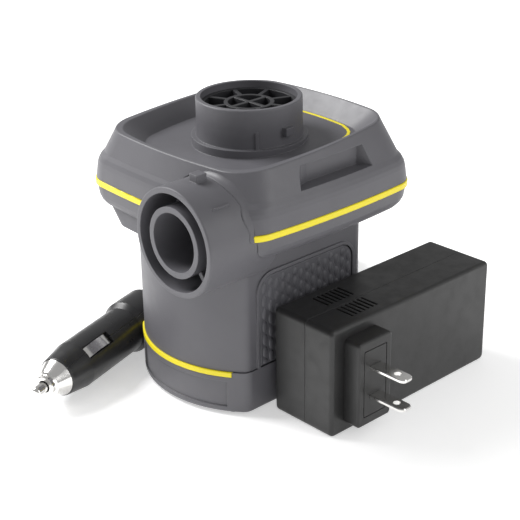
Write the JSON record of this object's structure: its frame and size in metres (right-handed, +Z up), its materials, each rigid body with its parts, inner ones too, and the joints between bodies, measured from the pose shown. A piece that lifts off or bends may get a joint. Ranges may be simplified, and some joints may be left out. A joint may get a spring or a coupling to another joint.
{
  "type": "electric air mattress pump",
  "caption": "Grey and yellow 12 V electric air mattress pump with intake and outlet ports, corded car plug and separate mains adapter.",
  "frame": {"origin": "where the intake port's axis meets the surface the pump stands on", "axes": "+Z up along the intake and motor axis, the outlet port points to -Y, the mains adapter stands beside the pump at +X"},
  "size_m": [0.1781, 0.2023, 0.1209],
  "materials": {
    "housing": "satin, fine grain",
    "yellow_trim": "smooth, semi-gloss",
    "grip": "woven relief",
    "black_plastic": "satin",
    "rubber": "matte",
    "fan_plastic": "satin",
    "steel": "zinc plated",
    "motor_steel": "drawn and plated",
    "laminations": "varnished",
    "copper": "turned",
    "carbon": "matte",
    "brass": "pressed",
    "bronze": "sintered",
    "magnet": "matte",
    "red_wire": "smooth",
    "black_wire": "smooth",
    "cord": "satin",
    "tie": "smooth",
    "plug_plastic": "satin",
    "nickel": "bright nickel",
    "fuse": "bright",
    "adapter_plastic": "satin, fine grain",
    "board": "solder resist",
    "transformer": "taped",
    "socket_steel": "plated"
  },
  "bodies": {
    "pump": {"base_screws": "steel", "base_skirt": "housing", "base_stripe": "yellow_trim", "brush_arms": "brass", "brushes": "carbon", "bushing_lower": "bronze", "bushing_upper": "bronze", "coil_tie": "tie", "cord_coil": "cord", "cord_gland": "rubber", "cord_to_coil": "cord", "cord_to_plug": "cord", "feet": "rubber", "grip_pad_left": "grip", "grip_pad_right": "grip", "head_screws": "steel", "intake_grille": "black_plastic", "lead_supply": "black_wire", "lead_switched": "red_wire", "lower_housing": "housing", "magnets": "magnet", "motor_can": "motor_steel", "motor_end_bell": "black_plastic", "motor_screws": "steel", "outlet_duct": "housing", "plug_fuse": "fuse", "plug_nose_ring": "nickel", "plug_pin_spring": "brass", "plug_shell_lower": "plug_plastic", "plug_shell_upper": "plug_plastic", "plug_side_contacts": "nickel", "plug_strain_relief": "rubber", "switch_housing": "black_plastic", "top_cover": "housing", "trim_band": "yellow_trim", "volute": "black_plastic", "volute_screws": "steel"},
    "rotor": {"motor_shaft": "steel", "armature": "laminations", "commutator": "copper", "impeller": "fan_plastic", "impeller_clip": "steel"},
    "rocker": {"switch_rocker": "black_plastic"},
    "plug_pin": {"plug_centre_pin": "nickel"},
    "adapter": {"adapter_blade_base": "adapter_plastic", "adapter_blades": "nickel", "adapter_board": "board", "adapter_case_far": "adapter_plastic", "adapter_case_near": "adapter_plastic", "adapter_screws": "steel", "adapter_socket": "socket_steel", "adapter_socket_contact": "nickel", "adapter_transformer": "transformer"}
  },
  "joints": [
    {"name": "rotor_spin", "type": "hinge", "parent": "pump", "child": "rotor", "pos_m": [0, 0, 0.085], "axis": [0, 0, 1], "continuous": true},
    {"name": "rocker_press", "type": "hinge", "parent": "pump", "child": "rocker", "pos_m": [0, 0.0316, 0.048], "axis": [1, 0, 0], "range_deg": [0, 16]},
    {"name": "plug_pin_press", "type": "slide", "parent": "pump", "child": "plug_pin", "axis": [-0.309, 0.9511, 0], "range_m": [0, 0.003], "stiffness_N_per_m": 900, "springref_m": -0.002},
    {"name": "adapter_slide", "type": "slide", "parent": "pump", "child": "adapter", "axis": [1, 0, 0], "range_m": [0, 0.08]}
  ]
}
